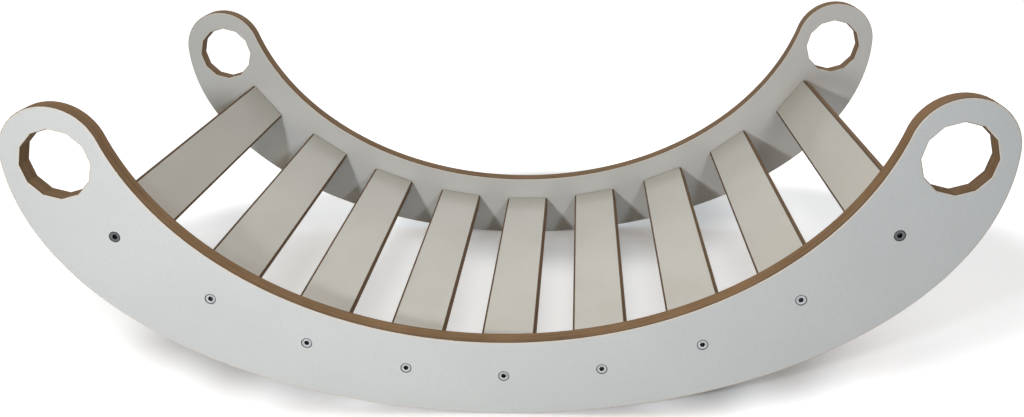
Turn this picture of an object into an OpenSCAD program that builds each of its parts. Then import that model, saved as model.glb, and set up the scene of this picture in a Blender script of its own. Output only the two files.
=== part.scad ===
// A child's rocker: two crescent side panels, joined by nine slats that follow their inner edge.
// X runs along the rocker, Y from the front panel to the rear one, Z up. The origin is on the
// floor under the middle of the rocker. All sizes are in millimetres.

/* [Overall] */
// Length over the round ends
rocker_length = 852; // [740:1:960]
// Width over the outer faces of the side panels
rocker_width = 460; // [300:1:620]

/* [Side panels] */
// Thickness of the panel board
panel_board = 18; // [16:0.5:24]
// Height of the middle of the round ends over the floor
lobe_height = 251; // [220:1:285]
// Radius of the round ends
lobe_radius = 45.5; // [42:0.5:56]
// Height of the panel at its middle, from the floor to the inner edge
web_height = 74.5; // [68:0.5:84]
// How far the centre of the inner edge's ellipse lies over the middle of the round ends
inner_centre_rise = 81; // [50:1:120]
// Where the inner edge meets the round end, in degrees above its middle
shoulder_angle = 23; // [16:1:40]

/* [Hand holes] */
// Width of a hand hole across its corners
hole_width = 62; // [50:0.5:66]
// How far the hole's middle lies below the middle of the round end
hole_drop = 6; // [0:0.5:8]
// How far the hole's middle lies from the middle of the round end, towards the rocker's middle
hole_inset = 2; // [0:0.5:5]

/* [Slats] */
// Width of a slat
slat_width = 52; // [46:1:60]
// Thickness of the slat board
slat_board = 18; // [16:0.5:22]
// Radius of the rounded long edges of a slat
slat_edge_round = 2.3; // [1:0.1:4]
// Depth of a slat's top face below the inner edge of the panel
slat_recess = 25.5; // [18:0.5:28]
// How much deeper the two end slats lie
end_slat_drop = 9; // [0:0.5:12]
// Distance along the inner edge from the middle slat to the slats beside it
middle_step = 83.5; // [72:0.5:92]
// Distance along the inner edge from the middle of an end slat to the round end
end_margin = 73.5; // [55:0.5:90]

/* [Screws] */
// Diameter of a screw head
head_diameter = 10; // [8:0.5:11]
// Height of the head's cone
head_cone = 3; // [2:0.5:4]
// Depth of a head's top below the face of the panel
head_sink = 0.3; // [0:0.1:1]
// Diameter of the plain shank in the panel
shank_diameter = 7; // [5:0.5:7.5]
// Diameter of the threaded core in the slat
core_diameter = 5; // [3.5:0.5:5]
// Length of a screw
screw_length = 50; // [40:1:70]
// Size of the hexagon socket across its flats
socket_size = 4; // [2.5:0.5:5]
// Depth of the hexagon socket
socket_depth = 3; // [2:0.5:4]

/* [Dowels] */
// Diameter of a dowel
dowel_diameter = 6; // [5:0.5:8]
// Length of a dowel
dowel_length = 30; // [25:1:40]
// Depth of a dowel in the panel
dowel_in_panel = 10; // [8:0.5:13]
// Distance from a dowel to the screw
dowel_offset = 15; // [12:0.5:17]
// Width of the chamfer at a dowel's ends
dowel_chamfer = 0.8; // [0.4:0.1:1.2]

/* [Fits] */
// Radial gap round a screw or dowel in its hole
hole_gap = 0.1; // [0.05:0.05:0.3]
// Extra depth of a blind hole past the tip in it
tip_gap = 1; // [0.5:0.5:3]

/* [Hidden] */

side_slat_count = 4;    // slats on each side of the middle one
outer_steps = 120;     // straight runs along the outer edge
inner_steps = 96;      // straight runs along the inner edge
arc_steps = 200;       // steps in which the length of the inner edge is added up
past_shoulder = 3;     // degrees that the cut for the inner edge runs on past the round end
lobe_overlap = 4.5;    // how far the crescent reaches into the round end past the shoulder
lobe_underlap = 2;     // how far its top corner stays below the shoulder
cut_over = 1;          // how far a cut runs past a face

// Outer edge: the lower half of an ellipse, which runs into the round ends where it is widest
half_length = rocker_length / 2;
lobe_x = half_length - lobe_radius;

function outer_point(angle) = [half_length * sin(angle), lobe_height * (1 - cos(angle))];

// Inner edge: an ellipse through the middle of the web and the shoulder of each round end
shoulder = [lobe_x - lobe_radius * cos(shoulder_angle),
            lobe_height + lobe_radius * sin(shoulder_angle)];
inner_centre_z = lobe_height + inner_centre_rise;
inner_depth = inner_centre_z - web_height;
shoulder_turn = acos((inner_centre_z - shoulder[1]) / inner_depth);
inner_reach = shoulder[0] / sin(shoulder_turn);

function inner_point(angle) = [inner_reach * sin(angle), inner_centre_z - inner_depth * cos(angle)];
function inner_slope(angle) = atan2(inner_depth * sin(angle), inner_reach * cos(angle));

// Length along the inner edge from its middle, as pairs of length and ellipse angle
function run(angle) = norm(inner_point(angle + shoulder_turn / arc_steps) - inner_point(angle));
edge_lengths = [for (step = 0, length = 0, angle = 0; step <= arc_steps;
                     length = length + run(angle), step = step + 1,
                     angle = step * shoulder_turn / arc_steps) [length, angle]];
edge_length = edge_lengths[arc_steps][0];

// Slats: the pair beside the middle one is a step of its own away, and the rest are evenly spread
even_step = (edge_length - end_margin - middle_step) / (side_slat_count - 1);

function slat_station(place) =
    place == 0 ? 0 : sign(place) * (middle_step + (abs(place) - 1) * even_step);
function slat_angle(place) = sign(place) * lookup(abs(slat_station(place)), edge_lengths);
function slat_tilt(place) = inner_slope(slat_angle(place));
function slat_depth(place) =
    slat_recess + slat_board / 2 + (abs(place) == side_slat_count ? end_slat_drop : 0);
function slat_middle(place) = let (tilt = slat_tilt(place))
    inner_point(slat_angle(place)) + slat_depth(place) * [sin(tilt), -cos(tilt)];

slat_length = rocker_width - 2 * panel_board;
face_y = rocker_width / 2;          // outer face of a panel
joint_y = face_y - panel_board;     // inner face of a panel, where the slats end
screw_in_slat = screw_length - (panel_board - head_sink);
dowel_in_slat = dowel_length - dowel_in_panel;

board_white = [0.86, 0.87, 0.87];
zinc = [0.62, 0.64, 0.66];
beech = [0.80, 0.66, 0.46];

// Puts its children at a slat's middle, turned as the slat is, for places -4 to 4
module at_slat(place) {
    middle = slat_middle(place);
    translate([middle[0], 0, middle[1]]) rotate([0, -slat_tilt(place), 0]) children();
}

// Puts its children at every slat
module at_all_slats() {
    for (place = [-side_slat_count : side_slat_count]) at_slat(place) children();
}

// Puts its children on both dowel lines of a slat end
module at_dowels() {
    for (side = [-1, 1]) translate([side * dowel_offset, 0, 0]) children();
}

// A solid of revolution about the Y axis, from rings of [radius, y]
module turned(rings) {
    rotate([-90, 0, 0]) rotate_extrude($fn = 48) polygon(rings);
}

// Side view of a panel
module panel_outline() {
    difference() {
        union() {
            polygon(concat(
                [for (step = [0 : outer_steps]) outer_point(180 * step / outer_steps - 90)],
                [for (side = [1, -1])
                    [side * (shoulder[0] + lobe_overlap), shoulder[1] - lobe_underlap]]));
            for (side = [-1, 1])
                translate([side * lobe_x, lobe_height]) circle(r = lobe_radius, $fn = 96);
        }
        inner_cut();
        for (side = [-1, 1])
            translate([side * (lobe_x - hole_inset), lobe_height - hole_drop])
                circle(d = hole_width, $fn = 12);
    }
}

// The space above the inner edge, open upwards between the round ends
module inner_cut() {
    end_turn = shoulder_turn + past_shoulder;
    end_x = inner_point(end_turn)[0];
    top_z = lobe_height + 2 * lobe_radius;
    polygon(concat(
        [for (step = [0 : inner_steps]) inner_point(end_turn * (2 * step / inner_steps - 1))],
        [[end_x, top_z], [-end_x, top_z]]));
}

// Front panel, with its outer face at -face_y
module side_panel() {
    color(board_white) difference() {
        translate([0, -joint_y, 0]) rotate([90, 0, 0]) linear_extrude(panel_board) panel_outline();
        at_all_slats() {
            screw_hole_in_panel();
            at_dowels() dowel_hole_in_panel();
        }
    }
}

// Countersunk through hole, from outside the face to inside the joint
module screw_hole_in_panel() {
    head = head_diameter / 2 + hole_gap;
    shank = shank_diameter / 2 + hole_gap;
    translate([0, -face_y, 0]) turned([
        [0, -cut_over], [head, -cut_over], [head, head_sink],
        [shank, head_sink + head_cone], [shank, panel_board + cut_over], [0, panel_board + cut_over]]);
}

module dowel_hole_in_panel() {
    radius = dowel_diameter / 2 + hole_gap;
    depth = dowel_in_panel + tip_gap;
    translate([0, -joint_y - depth, 0]) turned([
        [0, 0], [radius, 0], [radius, depth + cut_over], [0, depth + cut_over]]);
}

// End view of a slat, its long edges rounded over
module slat_profile() {
    corner = [slat_width / 2 - slat_edge_round, slat_board / 2 - slat_edge_round];
    square([slat_width, 2 * corner[1]], center = true);
    square([2 * corner[0], slat_board], center = true);
    for (across = [-1, 1], up = [-1, 1])
        translate([across * corner[0], up * corner[1]]) circle(r = slat_edge_round, $fn = 48);
}

// One slat, cut for the screw and dowels at both ends
module slat(place) {
    color(board_white) difference() {
        at_slat(place) rotate([90, 0, 0])
            linear_extrude(slat_length, center = true) slat_profile();
        for (end = [0, 1]) mirror([0, end, 0]) at_slat(place) {
            hole_in_slat(core_diameter, screw_in_slat);
            at_dowels() hole_in_slat(dowel_diameter, dowel_in_slat);
        }
    }
}

// Blind hole in a slat's front end, for something that reaches that far in
module hole_in_slat(diameter, reach) {
    radius = diameter / 2 + hole_gap;
    translate([0, -joint_y, 0]) turned([
        [0, -cut_over], [radius, -cut_over], [radius, reach + tip_gap], [0, reach + tip_gap]]);
}

// Furniture screw: flat head on a cone, plain shank in the panel, thinner core in the slat
module screw() {
    head = head_diameter / 2;
    shank = shank_diameter / 2;
    core = core_diameter / 2;
    joint = panel_board - head_sink;
    color(zinc) translate([0, -face_y + head_sink, 0]) difference() {
        turned([
            [0, 0], [head, 0], [shank, head_cone], [shank, joint - hole_gap],
            [core, joint - hole_gap], [core, screw_length - core], [core / 2, screw_length],
            [0, screw_length]]);
        rotate([-90, 0, 0]) translate([0, 0, -cut_over])
            cylinder(d = socket_size / cos(30), h = socket_depth + cut_over, $fn = 6);
    }
}

module dowel() {
    radius = dowel_diameter / 2;
    color(beech) translate([0, -joint_y - dowel_in_panel, 0]) turned([
        [0, 0], [radius - dowel_chamfer, 0], [radius, dowel_chamfer],
        [radius, dowel_length - dowel_chamfer], [radius - dowel_chamfer, dowel_length],
        [0, dowel_length]]);
}

module side_panel_front() { side_panel(); }
module side_panel_rear() { mirror([0, 1, 0]) side_panel(); }
module screws_front() { at_all_slats() screw(); }
module screws_rear() { mirror([0, 1, 0]) screws_front(); }
module dowels_front() { at_all_slats() at_dowels() dowel(); }
module dowels_rear() { mirror([0, 1, 0]) dowels_front(); }

side_panel_front();
side_panel_rear();
slat(-4);  // slat_1
slat(-3);  // slat_2
slat(-2);  // slat_3
slat(-1);  // slat_4
slat(0);  // slat_5
slat(1);  // slat_6
slat(2);  // slat_7
slat(3);  // slat_8
slat(4);  // slat_9
screws_front();
screws_rear();
dowels_front();
dowels_rear();
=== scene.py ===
import math
import random

import bpy
from mathutils import Matrix, Vector


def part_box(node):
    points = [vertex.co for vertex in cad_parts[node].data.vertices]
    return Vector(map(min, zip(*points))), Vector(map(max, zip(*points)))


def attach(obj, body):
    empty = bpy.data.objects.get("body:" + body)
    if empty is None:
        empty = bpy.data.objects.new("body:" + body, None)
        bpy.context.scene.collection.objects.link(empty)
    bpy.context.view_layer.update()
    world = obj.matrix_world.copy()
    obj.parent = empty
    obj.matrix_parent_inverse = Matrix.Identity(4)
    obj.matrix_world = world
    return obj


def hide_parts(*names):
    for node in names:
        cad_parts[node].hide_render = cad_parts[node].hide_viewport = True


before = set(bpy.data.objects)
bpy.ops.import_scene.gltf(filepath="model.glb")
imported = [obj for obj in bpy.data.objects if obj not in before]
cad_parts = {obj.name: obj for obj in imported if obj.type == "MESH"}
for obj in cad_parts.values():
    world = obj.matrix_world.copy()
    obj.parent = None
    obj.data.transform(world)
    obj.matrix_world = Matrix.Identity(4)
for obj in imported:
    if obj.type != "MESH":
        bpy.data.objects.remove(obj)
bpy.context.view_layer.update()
print("frame loaded:", len(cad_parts), "CAD nodes")


def deselectAll():
    if bpy.context.mode != "OBJECT":
        bpy.ops.object.mode_set(mode="OBJECT")
    bpy.ops.object.select_all(action="DESELECT")


def makeActive(piece):
    deselectAll()
    piece.select_set(True)
    bpy.context.view_layer.objects.active = piece


# Selects the faces or the edges of a piece that a test picks, and enters edit mode
def selectWhere(piece, mode, test):
    makeActive(piece)
    bpy.ops.object.mode_set(mode="EDIT")
    bpy.ops.mesh.select_mode(type=mode)
    bpy.ops.mesh.select_all(action="DESELECT")
    bpy.ops.object.mode_set(mode="OBJECT")
    parts = piece.data.polygons if mode == "FACE" else piece.data.edges
    for part in parts:
        part.select = bool(test(part))
    bpy.ops.object.mode_set(mode="EDIT")


def endEdit():
    bpy.ops.object.mode_set(mode="OBJECT")


def edgeEnds(piece, edge):
    return [piece.data.vertices[v].co for v in edge.vertices]


def cutWith(piece, cutter):
    makeActive(piece)
    cut = piece.modifiers.new("cut", "BOOLEAN")
    cut.operation = "DIFFERENCE"
    cut.solver = "EXACT"
    cut.object = cutter
    bpy.ops.object.modifier_apply(modifier=cut.name)
    bpy.data.objects.remove(cutter)


# Shades smooth, apart from edges that turn by more than an angle
def smoothByAngle(piece, degrees):
    makeActive(piece)
    bpy.ops.object.shade_smooth_by_angle(angle=math.radians(degrees))


# Keeps the shading of large flat faces flat next to their rounded rims
def flattenShading(piece):
    makeActive(piece)
    weigh = piece.modifiers.new("flat", "WEIGHTED_NORMAL")
    weigh.mode = "FACE_AREA"
    weigh.keep_sharp = True
    bpy.ops.object.modifier_apply(modifier=weigh.name)


# A copy with its own mesh, put in place by a matrix
def copyTo(piece, name, place):
    twin = piece.copy()
    twin.data = piece.data.copy()
    twin.name = name
    twin.data.name = name
    twin.data.transform(place)
    bpy.context.scene.collection.objects.link(twin)
    return twin


def joinAll(pieces, name):
    deselectAll()
    for piece in pieces:
        piece.select_set(True)
    bpy.context.view_layer.objects.active = pieces[0]
    bpy.ops.object.join()
    pieces[0].name = name
    pieces[0].data.name = name
    return pieces[0]


# Wraps a socket of a node tree: + - * / and ** on it add Math nodes, and node() adds any other
class Wire:
    def __init__(self, tree, socket=None):
        self.tree = tree
        self.socket = socket

    def node(self, kind, settings=None, inputs=None, output=0):
        made = self.tree.nodes.new(kind)
        for key, value in (settings or {}).items():
            setattr(made, key, value)
        for key, value in (inputs or {}).items():
            if isinstance(value, Wire):
                self.tree.links.new(value.socket, made.inputs[key])
            else:
                made.inputs[key].default_value = value
        return Wire(self.tree, made.outputs[output] if made.outputs else None)

    def maths(self, operation, *values):
        return self.node("ShaderNodeMath", {"operation": operation}, dict(enumerate(values)))

    def __add__(self, other):
        return self.maths("ADD", self, other)

    def __radd__(self, other):
        return self.maths("ADD", other, self)

    def __sub__(self, other):
        return self.maths("SUBTRACT", self, other)

    def __rsub__(self, other):
        return self.maths("SUBTRACT", other, self)

    def __mul__(self, other):
        return self.maths("MULTIPLY", self, other)

    def __truediv__(self, other):
        return self.maths("DIVIDE", self, other)

    def __pow__(self, other):
        return self.maths("POWER", self, other)

    def __abs__(self):
        return self.maths("ABSOLUTE", self)

    # 0 below low, 1 above high, with a soft change between them
    def rise(self, low, high):
        settings = {"interpolation_type": "SMOOTHSTEP"}
        return self.node("ShaderNodeMapRange", settings, {0: self, 1: low, 2: high, 3: 0.0, 4: 1.0})

    # The first colour where this is 0, the second where it is 1
    def mixed(self, first, second):
        values = {0: self}
        for key, value in ((6, first), (7, second)):
            values[key] = value if isinstance(value, Wire) else (*value, 1.0)
        return self.node("ShaderNodeMix", {"data_type": "RGBA"}, values, output=2)


def newMaterial(name):
    material = bpy.data.materials.new(name)
    material.use_nodes = True
    material.node_tree.nodes.clear()
    return material, Wire(material.node_tree)


def noise(wire, place, scale, detail, roughness, stretch=None):
    if stretch:
        place = wire.node("ShaderNodeMapping", None, {"Vector": place, "Scale": stretch})
    values = {"Vector": place, "Scale": scale, "Detail": detail, "Roughness": roughness}
    return wire.node("ShaderNodeTexNoise", None, values)


def finishMaterial(wire, shader):
    wire.node("ShaderNodeOutputMaterial", None, {"Surface": shader})


# Satin coat on a board's faces: faint clouds and grain, fine orange peel, a cream line at the rims
def coatedFace(name, look):
    material, wire = newMaterial(name)
    place = wire.node("ShaderNodeAttribute", {"attribute_name": "boardPlace"}, output=1)
    clouds = noise(wire, place, *look["clouds"])
    smudges = noise(wire, place, *look["smudges"], look["smudgeStretch"])
    peel = noise(wire, place, *look["peel"])
    grain = noise(wire, place, *look["grain"], look["grainStretch"])
    line = wire.node("ShaderNodeAttribute", {"attribute_name": "rimLine"}, output=2)
    colour = clouds.rise(*look["cloudRise"]).mixed(look["shade"], look["colour"])
    colour = (grain.rise(*look["grainRise"]) * look["grainAmount"]).mixed(colour, look["grainColour"])
    colour = line.rise(*look["rimRise"]).mixed(colour, look["rimColour"])
    roughness = look["roughness"] + smudges.rise(*look["smudgeRise"]) * look["smudgeAmount"]
    bump = wire.node("ShaderNodeBump", None, {
        "Strength": look["peelStrength"], "Distance": look["peelHeight"], "Height": peel})
    finishMaterial(wire, wire.node("ShaderNodeBsdfPrincipled", None, {
        "Base Color": colour, "Roughness": roughness, "Normal": bump,
        "Specular IOR Level": look["gloss"]}))
    return material


# Bare cut edge of the pressed board: dark dense skins, a lighter core, fine fibres along it
def cutEdge(name, look):
    material, wire = newMaterial(name)
    place = wire.node("ShaderNodeAttribute", {"attribute_name": "boardPlace"}, output=1)
    depth = abs(wire.node("ShaderNodeSeparateXYZ", None, {0: place}, output=2))
    waves = noise(wire, place, *look["waves"])
    wavyDepth = depth + (waves - 0.5) * look["waveDepth"]
    streaks = noise(wire, place, *look["streaks"], look["streakStretch"])
    layers = noise(wire, place, *look["layers"], look["layerStretch"])
    fibres = noise(wire, place, *look["fibres"])
    patches = noise(wire, place, *look["patches"])
    colour = streaks.rise(*look["streakRise"]).mixed(look["dark"], look["light"])
    colour = (layers.rise(*look["layerRise"]) * look["layerAmount"]).mixed(colour, look["layer"])
    colour = (patches.rise(*look["patchRise"]) * look["patchAmount"]).mixed(colour, look["tan"])
    colour = (wavyDepth.rise(*look["skinRise"]) * look["skinAmount"]).mixed(colour, look["skin"])
    colour = (fibres.rise(*look["fibreRise"]) * look["fibreAmount"]).mixed(colour, look["fleck"])
    height = streaks * look["streakHeight"] + fibres * look["fibreHeight"]
    bump = wire.node("ShaderNodeBump", None, {
        "Strength": look["bumpStrength"], "Distance": look["bumpHeight"], "Height": height})
    roughness = look["roughness"] - fibres * look["fibreShine"]
    finishMaterial(wire, wire.node("ShaderNodeBsdfPrincipled", None, {
        "Base Color": colour, "Roughness": roughness, "Normal": bump,
        "Specular IOR Level": look["gloss"]}))
    return material


# Zinc-plated steel: cloudy plating, painted shade in the socket and at the head's edge, and a painted
# darker reflection on the two end screws
def platedSteel(name, look):
    material, wire = newMaterial(name)
    place = wire.node("ShaderNodeTexCoord", None, None, output=3)
    own = wire.node("ShaderNodeAttribute", {"attribute_name": "screwPlace"}, output=1)
    endReflectionMask = wire.node("ShaderNodeAttribute", {"attribute_name": "screwEndReflection"}, output=2)
    along = wire.node("ShaderNodeSeparateXYZ", None, {0: own}, output=0)
    depth = wire.node("ShaderNodeSeparateXYZ", None, {0: own}, output=1)
    across = wire.node("ShaderNodeSeparateXYZ", None, {0: own}, output=2)
    radius = (along * along + across * across) ** 0.5
    clouds = noise(wire, place, *look["clouds"])
    grit = noise(wire, place, *look["grit"])
    colour = clouds.rise(*look["cloudRise"]).mixed(look["dull"], look["bright"])
    # painted darker reflection on the two end screws
    colour = (endReflectionMask * look["endReflectionAmount"]).mixed(colour, look["paintedShade"])
    # painted shade towards the head's edge, where it sits in its countersink
    edge = radius.rise(*look["edgeShadeRise"]) * look["edgeShadeAmount"]
    colour = edge.mixed(colour, look["paintedShade"])
    # painted shade in the hexagon socket
    socket = depth.rise(*look["socketShadeRise"]) * look["socketShadeAmount"]
    colour = socket.mixed(colour, look["paintedShade"])
    roughness = look["roughness"] + (clouds - 0.5) * look["roughnessSpread"]
    bump = wire.node("ShaderNodeBump", None, {
        "Strength": look["gritStrength"], "Distance": look["gritHeight"], "Height": grit})
    finishMaterial(wire, wire.node("ShaderNodeBsdfPrincipled", None, {
        "Base Color": colour, "Metallic": 1.0, "Roughness": roughness, "Normal": bump}))
    return material


# Plain beech of the hidden dowels: grain along Y with short dark flecks
def beechDowel(name, look):
    material, wire = newMaterial(name)
    place = wire.node("ShaderNodeTexCoord", None, None, output=3)
    grain = noise(wire, place, *look["grain"], look["grainStretch"])
    flecks = noise(wire, place, *look["flecks"], look["fleckStretch"])
    colour = grain.rise(*look["grainRise"]).mixed(look["dark"], look["light"])
    colour = (flecks.rise(*look["fleckRise"]) * look["fleckAmount"]).mixed(colour, look["fleck"])
    bump = wire.node("ShaderNodeBump", None, {
        "Strength": look["grainStrength"], "Distance": look["grainHeight"], "Height": grain})
    finishMaterial(wire, wire.node("ShaderNodeBsdfPrincipled", None, {
        "Base Color": colour, "Roughness": look["roughness"], "Normal": bump}))
    return material


# Gives each vertex its place in its own board: along, across and through the thickness
def markBoardPlace(piece, toBoard, shift):
    places = piece.data.attributes.new("boardPlace", "FLOAT_VECTOR", "POINT")
    for vertex, place in zip(piece.data.vertices, places.data):
        place.vector = toBoard @ vertex.co + shift


# How squarely a face looks through the board's thickness: about 1 on its flat faces, 0 on its walls
boardLean = {
    "flat": 0.999,
    "wall": 0.05,
}


# Coats the flat faces and as much of their rounded rims as coatLean allows, with a fine pale line
# where the coat ends; the rest of the rims, the walls and the bores are bare board
def dressBoard(piece, acrossAxis, coated, core, look, isBore):
    def lean(face):
        return abs(face.normal.dot(acrossAxis))

    selectWhere(piece, "FACE", lambda face: lean(face) > boardLean["flat"])
    bpy.ops.mesh.inset(thickness=look["lineWidth"])
    endEdit()
    piece.data.materials.clear()
    piece.data.materials.append(coated)
    piece.data.materials.append(core)
    rounded = set()
    for face in piece.data.polygons:
        onRim = boardLean["wall"] < lean(face) < boardLean["flat"] and not isBore(face.center)
        isCoated = lean(face) > (look["coatLean"] if onRim else boardLean["flat"])
        face.material_index = 0 if isCoated else 1
        if onRim:
            rounded.update(face.edge_keys)
    line = piece.data.attributes.new("rimLine", "FLOAT", "CORNER")
    for face in piece.data.polygons:
        ends = {end for key in face.edge_keys if key in rounded for end in key}
        for corner in face.loop_indices:
            atRim = piece.data.loops[corner].vertex_index in ends
            line.data[corner].value = 1.0 if atRim else 0.0


panelCoat = {
    "colour": (0.638, 0.645, 0.629),
    "shade": (0.613, 0.620, 0.605),
    "grainColour": (0.540, 0.543, 0.526),
    "rimColour": (0.670, 0.615, 0.540),
    "clouds": (9.0, 4.0, 0.55),          # of a pattern: its scale, detail and roughness
    "cloudRise": (0.3, 0.7),             # the values between which a pattern comes in
    "grain": (420.0, 3.0, 0.65),
    "grainStretch": (1.0, 1.6, 1.0),
    "grainRise": (0.42, 0.72),
    "grainAmount": 0.35,
    "smudges": (14.0, 6.0, 0.65),        # these change only how dull the coat is
    "smudgeStretch": (1.0, 2.2, 1.0),
    "smudgeRise": (0.35, 0.75),
    "smudgeAmount": 0.10,
    "rimRise": (0.1, 0.9),
    "peel": (900.0, 2.0, 0.5),
    "peelStrength": 0.25,
    "peelHeight": 0.00008,
    "roughness": 0.42,
    "gloss": 0.4,
}

slatCoat = {
    **panelCoat,
    "colour": (0.622, 0.611, 0.564),
    "shade": (0.601, 0.590, 0.543),
    "grainColour": (0.530, 0.519, 0.472),
    "rimColour": (0.700, 0.650, 0.560),
}

boardCore = {
    "light": (0.290, 0.173, 0.083),
    "dark": (0.198, 0.117, 0.056),
    "layer": (0.140, 0.085, 0.048),
    "tan": (0.350, 0.222, 0.116),
    "skin": (0.105, 0.070, 0.045),
    "fleck": (0.350, 0.245, 0.150),
    "streaks": (60.0, 5.0, 0.6),         # of a pattern: its scale, detail and roughness
    "streakStretch": (1.0, 1.0, 22.0),
    "streakRise": (0.3, 0.7),
    "streakHeight": 0.6,
    "layers": (20.0, 2.0, 0.5),
    "layerStretch": (0.4, 0.4, 16.0),
    "layerRise": (0.45, 0.62),
    "layerAmount": 0.6,
    "patches": (22.0, 2.0, 0.5),
    "patchRise": (0.35, 0.7),
    "patchAmount": 0.35,
    "skinRise": (0.0062, 0.0086),        # from the middle of the board
    "skinAmount": 0.8,
    "waves": (60.0, 2.0, 0.5),
    "waveDepth": 0.0012,                 # how far the skin's limit wanders
    "fibres": (1400.0, 3.0, 0.7),
    "fibreRise": (0.55, 0.8),
    "fibreAmount": 0.35,
    "fibreHeight": 0.4,
    "fibreShine": 0.1,
    "bumpStrength": 0.4,
    "bumpHeight": 0.0003,
    "roughness": 0.86,
    "gloss": 0.25,
}

screwZinc = {
    "bright": (0.400, 0.420, 0.430),
    "dull": (0.290, 0.305, 0.315),
    # painted shade of the socket and the head's edge, and the colour of the end screws' painted darker
    # reflection
    "paintedShade": (0.022, 0.024, 0.026),
    "endReflectionAmount": 0.75,                  # how dark the painted darker reflection makes the two end screws
    "edgeShadeRise": (0.0037, 0.0046),        # radii between which painted shade darkens the head towards its edge
    "edgeShadeAmount": 0.75,
    "socketShadeRise": (0.0003, 0.0012),      # depths between which painted shade darkens the socket
    "socketShadeAmount": 0.94,
    "clouds": (500.0, 4.0, 0.6),         # of a pattern: its scale, detail and roughness
    "cloudRise": (0.3, 0.7),
    "grit": (3000.0, 2.0, 0.6),
    "gritStrength": 0.25,
    "gritHeight": 0.00003,
    "roughness": 0.24,
    "roughnessSpread": 0.12,
}

dowelBeech = {
    "light": (0.720, 0.560, 0.380),
    "dark": (0.600, 0.440, 0.280),
    "fleck": (0.420, 0.280, 0.160),
    "grain": (420.0, 4.0, 0.6),          # of a pattern: its scale, detail and roughness
    "grainStretch": (1.0, 0.06, 1.0),
    "grainRise": (0.3, 0.7),
    "grainStrength": 0.3,
    "grainHeight": 0.0001,
    "flecks": (700.0, 2.0, 0.5),
    "fleckStretch": (1.0, 0.15, 1.0),
    "fleckRise": (0.62, 0.72),
    "fleckAmount": 0.6,
    "roughness": 0.6,
}

panelFaceMaterial = coatedFace("panelCoat", panelCoat)
slatFaceMaterial = coatedFace("slatCoat", slatCoat)
coreMaterial = cutEdge("boardCore", boardCore)
zincMaterial = platedSteel("screwZinc", screwZinc)
beechMaterial = beechDowel("dowelBeech", dowelBeech)
print("materials made")


slatBoard = {
    "count": 9,
    "width": 0.052,
    "length": 0.424,
    "thickness": 0.018,
    "edgeRound": 0.0023,                 # radius of the four long edges
    "roundSteps": 6,
    "smoothAngle": 40,
    "lineWidth": 0.0005,                 # of the pale line where the coat ends
    "coatLean": 0.999,                   # less than this lets the coat bend over the rounded edges
    "screwBore": 0.0052,
    "screwBoreDepth": 0.0333,
    "dowelBore": 0.0062,
    "dowelBoreDepth": 0.0210,
    "dowelOffset": 0.015,                # from the middle of the end to each dowel
    "boreSides": 32,
    "patternStep": 0.7,                  # from one slat to the next in the pattern they are cut from
}

# Places nearer than this to each other count as the same
sameSpot = 0.00001


# Where a slat is: its middle, and how far it leans, both from its CAD box
def slatPlace(node):
    low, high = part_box(node)
    middle = (low + high) / 2
    corners = 2 * slatBoard["edgeRound"]
    span = high - low - Vector((corners, 0, corners))
    wide = slatBoard["width"] - corners
    thick = slatBoard["thickness"] - corners
    lean = math.atan2(wide * span.z - thick * span.x, wide * span.x - thick * span.z)
    return middle, math.copysign(lean, middle.x)


def modelSlat():
    deselectAll()
    bpy.ops.mesh.primitive_cube_add(size=1.0)
    slat = bpy.context.active_object
    slat.scale = (slatBoard["width"], slatBoard["length"], slatBoard["thickness"])
    bpy.ops.object.transform_apply(location=True, rotation=True, scale=True)

    bores = []
    end = slatBoard["length"] / 2
    for side in (-1, 1):
        for across, bore, depth in (
                (0.0, slatBoard["screwBore"], slatBoard["screwBoreDepth"]),
                (-slatBoard["dowelOffset"], slatBoard["dowelBore"], slatBoard["dowelBoreDepth"]),
                (slatBoard["dowelOffset"], slatBoard["dowelBore"], slatBoard["dowelBoreDepth"])):
            deselectAll()
            bpy.ops.mesh.primitive_cylinder_add(
                vertices=slatBoard["boreSides"], radius=bore / 2, depth=2 * depth,
                location=(across, side * end, 0), rotation=(math.pi / 2, 0, 0))
            bpy.ops.object.transform_apply(location=True, rotation=True, scale=True)
            bores.append(bpy.context.active_object)
    cutWith(slat, joinAll(bores, "slatBores"))

    # the long edges are rounded over; the ends stay sharp, as they butt against the panels
    corner = Vector((slatBoard["width"] / 2, 0, slatBoard["thickness"] / 2))

    def isLongEdge(edge):
        return all(
            abs(abs(point.x) - corner.x) < sameSpot and abs(abs(point.z) - corner.z) < sameSpot
            for point in edgeEnds(slat, edge))

    selectWhere(slat, "EDGE", isLongEdge)
    bpy.ops.mesh.bevel(offset=slatBoard["edgeRound"], segments=slatBoard["roundSteps"])
    endEdit()
    toBoard = Matrix(((0, 1, 0), (1, 0, 0), (0, 0, 1)))
    markBoardPlace(slat, toBoard, Vector())
    dressBoard(slat, Vector((0, 0, 1)), slatFaceMaterial, coreMaterial,
               slatBoard, lambda spot: False)
    smoothByAngle(slat, slatBoard["smoothAngle"])
    flattenShading(slat)
    return slat


slatMaster = modelSlat()
slatPlaces = {}
for number in range(1, slatBoard["count"] + 1):
    node = f"slat_{number}"
    middle, lean = slatPlace(node)
    slatPlaces[node] = (middle, lean)
    place = Matrix.Translation(middle) @ Matrix.Rotation(-lean, 4, "Y")
    slat = copyTo(slatMaster, f"slatBoard{number}", place)
    for mark in slat.data.attributes["boardPlace"].data:
        mark.vector = mark.vector + Vector((slatBoard["patternStep"] * number, 0, 0))
    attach(slat, "root")
    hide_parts(node)
bpy.data.objects.remove(slatMaster)
print("slats placed:", {node: round(math.degrees(lean), 2) for node, (_, lean) in slatPlaces.items()})


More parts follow.
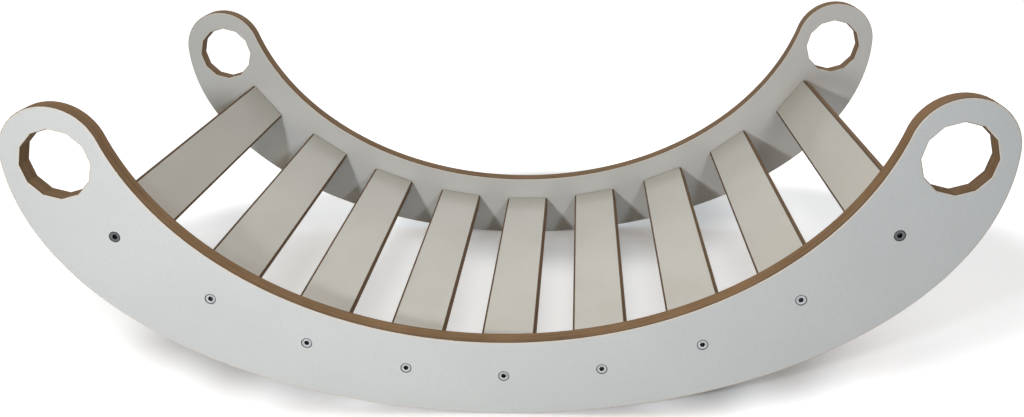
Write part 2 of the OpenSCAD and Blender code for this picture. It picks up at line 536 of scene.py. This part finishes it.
panelBoard = {
    "edgeRound": 0.0015,                 # radius of the rims of both faces and of the hand holes
    "roundSteps": 4,
    "rimTurn": 0.5,                      # cosine of the least turn that makes an edge a rim
    "smoothAngle": 25,
    "lineWidth": 0.0004,
    "coatLean": 0.8,
    "clearOfScrews": 0.022,              # edges nearer than this to a slat's middle are bores, left sharp
    "joinWithin": 0.000001,              # merges doubled corners of the CAD mesh
    "flatWithin": 0.05,                  # degrees up to which neighbouring faces become one
    "patternStep": 0.9,                  # from the front panel to the rear one in their pattern
}


# A copy of a CAD panel with eased rims, dressed as a coated board
def makePanel(name, node, shift):
    makeActive(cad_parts[node])
    bpy.ops.object.duplicate()
    panel = bpy.context.active_object
    panel.parent = None
    for key in list(panel.keys()):
        del panel[key]
    panel.name = name
    panel.data.name = name
    low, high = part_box(node)
    middleY = (low.y + high.y) / 2
    faceY = (high.y - low.y) / 2

    bpy.ops.object.mode_set(mode="EDIT")
    bpy.ops.mesh.select_all(action="SELECT")
    bpy.ops.mesh.remove_doubles(threshold=panelBoard["joinWithin"])
    bpy.ops.mesh.dissolve_limited(angle_limit=math.radians(panelBoard["flatWithin"]))
    endEdit()

    def isBore(spot):
        return any(math.hypot(spot.x - at.x, spot.z - at.z) < panelBoard["clearOfScrews"]
                   for at, _ in slatPlaces.values())

    def isRim(edge):
        ends = edgeEnds(panel, edge)
        if any(abs(abs(point.y - middleY) - faceY) > sameSpot for point in ends):
            return False
        if (ends[0].y - middleY) * (ends[1].y - middleY) < 0:
            return False
        return edge.index in sharpEdges and not isBore((ends[0] + ends[1]) / 2)

    # rims are the edges between a face and a wall, so the two faces beside one meet at an angle
    sides = {}
    for face in panel.data.polygons:
        for key in face.edge_keys:
            sides.setdefault(key, []).append(face.normal.copy())
    sharpEdges = set()
    for edge in panel.data.edges:
        normals = sides.get(edge.key, [])
        if len(normals) == 2 and normals[0].dot(normals[1]) < panelBoard["rimTurn"]:
            sharpEdges.add(edge.index)
    selectWhere(panel, "EDGE", isRim)
    bpy.ops.mesh.bevel(offset=panelBoard["edgeRound"], segments=panelBoard["roundSteps"],
                       clamp_overlap=True)
    endEdit()
    toBoard = Matrix(((1, 0, 0), (0, 0, 1), (0, 1, 0)))
    markBoardPlace(panel, toBoard, Vector((shift, 0, -middleY)))
    dressBoard(panel, Vector((0, 1, 0)), panelFaceMaterial, coreMaterial,
               panelBoard, isBore)
    smoothByAngle(panel, panelBoard["smoothAngle"])
    flattenShading(panel)
    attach(panel, "root")
    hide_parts(node)


makePanel("panelFront", "side_panel_front", 0.0)
makePanel("panelRear", "side_panel_rear", panelBoard["patternStep"])
print("side panels eased and dressed")


screwShape = {
    "head": 0.0100,                      # diameter of the flat head
    "headSides": 48,
    "rim": 0.0003,                       # bevel at the head's edge
    "headCone": 0.0030,
    "sink": 0.0003,                      # how deep the head lies below the panel's face
    "shank": 0.0070,
    "core": 0.0050,
    "length": 0.0500,
    "shoulder": 0.0176,                  # from the head to where the thinner core starts
    "socket": 0.0040,                    # across the flats of the hexagon socket
    "socketDepth": 0.0030,
    "socketEase": 0.00045,               # bevel at the socket's rim
    "easeSteps": 2,
    "smoothAngle": 35,
    "faceY": 0.2300,                     # from the middle of the rocker to a panel's outer face
    "darkReflectionSlats": ("slat_1", "slat_9"),    # the screws in these slats get a painted darker reflection
    "turnSeed": 7,
}


# One screw, head at y = 0 and tip towards +Y: a circle drawn out ring by ring
def modelScrew():
    head = screwShape["head"] / 2
    shank = screwShape["shank"] / 2
    core = screwShape["core"] / 2
    rings = [
        (head, screwShape["rim"]),
        (shank, screwShape["headCone"]),
        (shank, screwShape["shoulder"]),
        (core, screwShape["shoulder"]),
        (core, screwShape["length"] - screwShape["core"]),
        (core / 2, screwShape["length"]),
    ]
    deselectAll()
    bpy.ops.mesh.primitive_circle_add(
        vertices=screwShape["headSides"], radius=head - screwShape["rim"], fill_type="NGON",
        rotation=(math.pi / 2, 0, 0))
    screw = bpy.context.active_object
    bpy.ops.object.transform_apply(location=True, rotation=True, scale=True)
    bpy.ops.object.mode_set(mode="EDIT")
    radius = head - screwShape["rim"]
    depth = 0.0
    bpy.ops.mesh.select_all(action="SELECT")
    for nextRadius, nextDepth in rings:
        bpy.ops.mesh.extrude_region_move(TRANSFORM_OT_translate={"value": (0, nextDepth - depth, 0)})
        share = nextRadius / radius
        bpy.ops.transform.resize(value=(share, 1, share), center_override=(0, nextDepth, 0))
        radius = nextRadius
        depth = nextDepth
    bpy.ops.mesh.select_all(action="SELECT")
    bpy.ops.mesh.normals_make_consistent(inside=False)
    endEdit()

    deselectAll()
    bpy.ops.mesh.primitive_cylinder_add(
        vertices=6, radius=screwShape["socket"] / math.sqrt(3),
        depth=2 * screwShape["socketDepth"], rotation=(math.pi / 2, 0, 0))
    bpy.ops.object.transform_apply(location=True, rotation=True, scale=True)
    cutWith(screw, bpy.context.active_object)

    def isSocketRim(edge):
        return all(
            abs(point.y) < sameSpot and math.hypot(point.x, point.z) < screwShape["socket"]
            for point in edgeEnds(screw, edge))

    selectWhere(screw, "EDGE", isSocketRim)
    bpy.ops.mesh.bevel(offset=screwShape["socketEase"], segments=screwShape["easeSteps"])
    endEdit()
    screw.data.materials.clear()
    screw.data.materials.append(zincMaterial)
    places = screw.data.attributes.new("screwPlace", "FLOAT_VECTOR", "POINT")
    for vertex, mark in zip(screw.data.vertices, places.data):
        mark.vector = vertex.co
    screw.data.attributes.new("screwEndReflection", "FLOAT", "POINT")
    smoothByAngle(screw, screwShape["smoothAngle"])
    return screw


# A screw in every slat's end; each was driven home at its own angle
def placeScrews(name, node, side, master):
    random.seed(screwShape["turnSeed"] + side)
    screws = []
    headY = side * (screwShape["faceY"] - screwShape["sink"])
    facing = Matrix.Rotation(0.0 if side < 0 else math.pi, 4, "Z")
    for slatNode, (middle, _) in slatPlaces.items():
        turn = Matrix.Rotation(random.uniform(0, math.pi / 3), 4, "Y")
        face = Matrix.Translation((middle.x, headY, middle.z))
        screw = copyTo(master, f"{name}{slatNode}", face @ facing @ turn)
        # the end screws are marked for their painted darker reflection
        for mark in screw.data.attributes["screwEndReflection"].data:
            mark.value = 1.0 if slatNode in screwShape["darkReflectionSlats"] else 0.0
        screws.append(screw)
    piece = joinAll(screws, name)
    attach(piece, "root")
    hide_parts(node)


screwMaster = modelScrew()
placeScrews("screwsFront", "screws_front", -1, screwMaster)
placeScrews("screwsRear", "screws_rear", 1, screwMaster)
bpy.data.objects.remove(screwMaster)
print("screws driven")

# The dowels are hidden in their joints, so their CAD solids are only given their wood
for node in ("dowels_front", "dowels_rear"):
    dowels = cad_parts[node]
    dowels.data.materials.clear()
    dowels.data.materials.append(beechMaterial)
print("dowels dressed")


studio = {
    "floorSize": 12.0,
    "floorColour": (0.76, 0.76, 0.77),
    "nearGlow": 0.515,                   # added only where a camera, glossy or clear ray meets the floor
    "farGlow": 1.0,
    "glowMiddle": (0.054, 0.116),
    "glowReach": (0.541, 0.296),         # half axes of the oval where the glow starts to rise
    "glowSpread": 1.275,                 # how many times larger the oval is where it ends rising
    "nearFootMiddle": (-0.025, 0.0),
    "nearFootReach": (0.346, 0.249),     # half axes of the oval of the painted shadow arc at the near foot
    "nearFootRise": (0.60, 0.85),        # shares of that oval between which the painted shadow darkens, outwards
    "nearFootFall": (0.946, 1.302),      # and between which it fades again
    "nearFootFront": (-0.11, -0.02),     # towards the rear the painted shadow fades out between these
    # how far the painted shadow at the near foot lowers the glow
    "nearFootPaintedShadow": 0.51,
    "farFootMiddle": (0.062, 0.295),
    "farFootReach": (0.203, 0.180),      # half axes of the soft painted shadow at the far panel's foot
    "farFootFall": (0.764, 1.299),       # shares of that oval between which it fades
    # how far the painted shadow at the far foot lowers the glow
    "farFootPaintedShadow": 0.282,
    "skyColour": (1.0, 0.985, 0.955),
    "skyStrength": 0.01,
    "lamps": [
        # name, place, size, watts, colour
        ("leftLamp", (-0.355, -1.1, 0.51), 0.08, 5.8, (0.94, 0.97, 1.0)),
        ("rightLamp", (0.40, -2.0, 0.63), 0.12, 6.9, (0.82, 0.91, 1.0)),
        ("frontLeftLamp", (-1.1, -0.9, 1.2), 0.6, 1.95, (1.0, 0.75, 0.40)),
        ("rightTopLamp", (0.7, -0.2, 0.9), 0.3, 1.55, (1.0, 0.88, 0.82)),
        ("middleLamp", (0.0, -0.20, 0.62), 0.5, 0.60, (1.0, 0.78, 0.54)),
        ("topLamp", (0.0, 0.75, 1.6), 0.8, 4.8, (0.80, 0.95, 1.0)),
        ("rearLamp", (0.0, 1.7, 1.3), 1.0, 5.6, (1.0, 1.0, 1.0)),
        ("backFillLamp", (0.0, 2.2, 0.16), 0.6, 6.0, (1.0, 1.0, 1.0)),
    ],
    "aim": (0.0, 0.0, 0.08),             # every lamp looks here
}


# 1 for the rays that look at a thing, 0 for those that only carry its light
def seenDirectly(wire):
    rays = wire.node("ShaderNodeLightPath")
    sockets = rays.socket.node.outputs
    camera = Wire(wire.tree, sockets["Is Camera Ray"])
    glossy = Wire(wire.tree, sockets["Is Glossy Ray"])
    clear = Wire(wire.tree, sockets["Is Transmission Ray"])
    return wire.maths("MAXIMUM", wire.maths("MAXIMUM", camera, glossy), clear)


# 1 on an oval around a point of the floor, less inside it and more outside it
def ovalDistance(wire, middle, reach):
    place = wire.node("ShaderNodeTexCoord", None, None, output=3)
    along = (wire.node("ShaderNodeSeparateXYZ", None, {0: place}, output=0) - middle[0]) / reach[0]
    across = (wire.node("ShaderNodeSeparateXYZ", None, {0: place}, output=1) - middle[1]) / reach[1]
    return (along * along + across * across) ** 0.5


# A pale floor that looks white far away, with soft painted shadows where the panels stand
def makeFloor():
    deselectAll()
    bpy.ops.mesh.primitive_plane_add(size=studio["floorSize"])
    floor = bpy.context.active_object
    floor.name = "studioFloor"
    material, wire = newMaterial("studioFloor")
    diffuse = wire.node("ShaderNodeBsdfDiffuse", None, {"Color": (*studio["floorColour"], 1.0)})
    glowOval = ovalDistance(wire, studio["glowMiddle"], studio["glowReach"])
    nearFoot = ovalDistance(wire, studio["nearFootMiddle"], studio["nearFootReach"])
    farFoot = ovalDistance(wire, studio["farFootMiddle"], studio["farFootReach"])
    place = wire.node("ShaderNodeTexCoord", None, None, output=3)
    depth = wire.node("ShaderNodeSeparateXYZ", None, {0: place}, output=1)
    front = 1.0 - depth.rise(*studio["nearFootFront"])
    within = 1.0 - nearFoot.rise(*studio["nearFootFall"])
    # painted shadow in an arc along the near panel's foot
    nearFootShadow = nearFoot.rise(*studio["nearFootRise"]) * within * front
    # painted shadow in a soft oval at the far panel's foot
    spot = 1.0 - farFoot.rise(*studio["farFootFall"])
    far = glowOval.rise(1.0, studio["glowSpread"])
    glow = studio["nearGlow"] + far * (studio["farGlow"] - studio["nearGlow"])
    glow = glow - nearFootShadow * studio["nearFootPaintedShadow"] - spot * studio["farFootPaintedShadow"]
    glow = wire.maths("MAXIMUM", glow, 0.0)
    shine = wire.node("ShaderNodeEmission", None, {"Color": glow, "Strength": seenDirectly(wire)})
    finishMaterial(wire, wire.node("ShaderNodeAddShader", None, {0: diffuse, 1: shine}))
    floor.data.materials.append(material)


# White to look at, and a faint warm light on the object
def makeSky():
    world = bpy.data.worlds.new("studioSky")
    bpy.context.scene.world = world
    world.use_nodes = True
    world.node_tree.nodes.clear()
    wire = Wire(world.node_tree)
    light = wire.node("ShaderNodeBackground", None, {
        "Color": (*studio["skyColour"], 1.0), "Strength": studio["skyStrength"]})
    white = wire.node("ShaderNodeBackground", None, {"Color": (1, 1, 1, 1), "Strength": 1.0})
    both = wire.node("ShaderNodeMixShader", None, {0: seenDirectly(wire), 1: light, 2: white})
    wire.node("ShaderNodeOutputWorld", None, {"Surface": both})


# Soft round lamps
def makeLamps():
    for name, place, size, watts, colour in studio["lamps"]:
        deselectAll()
        bpy.ops.object.light_add(type="AREA", location=place)
        lamp = bpy.context.active_object
        lamp.name = name
        lamp.data.shape = "DISK"
        lamp.data.size = size
        lamp.data.energy = watts
        lamp.data.color = colour
        away = Vector(studio["aim"]) - Vector(place)
        lamp.rotation_euler = away.to_track_quat("-Z", "Y").to_euler()


cameraView = {
    "place": (0.0715, -1.0107, 0.5044),
    "yaw": 0.06086,
    "pitch": -0.38835,
    "roll": -0.02503,
    "lens": 34.77,
    "sensor": 36.0,                      # both in millimetres
    "shiftX": -0.01378,
    "shiftY": 0.02044,
    "clipStart": 0.01,
}


def makeCamera():
    data = bpy.data.cameras.new("photoCamera")
    camera = bpy.data.objects.new("photoCamera", data)
    bpy.context.scene.collection.objects.link(camera)
    data.sensor_width = cameraView["sensor"]
    data.lens = cameraView["lens"]
    data.shift_x = cameraView["shiftX"]
    data.shift_y = cameraView["shiftY"]
    data.clip_start = cameraView["clipStart"]
    yaw = Matrix.Rotation(cameraView["yaw"], 4, "Z")
    pitch = Matrix.Rotation(math.pi / 2 + cameraView["pitch"], 4, "X")
    roll = Matrix.Rotation(cameraView["roll"], 4, "Z")
    camera.matrix_world = Matrix.Translation(cameraView["place"]) @ yaw @ pitch @ roll
    bpy.context.scene.camera = camera


makeFloor()
makeSky()
makeLamps()
makeCamera()
bpy.context.scene.view_settings.view_transform = "Standard"
print("stage, lamps and camera set")

bpy.context.view_layer.update()
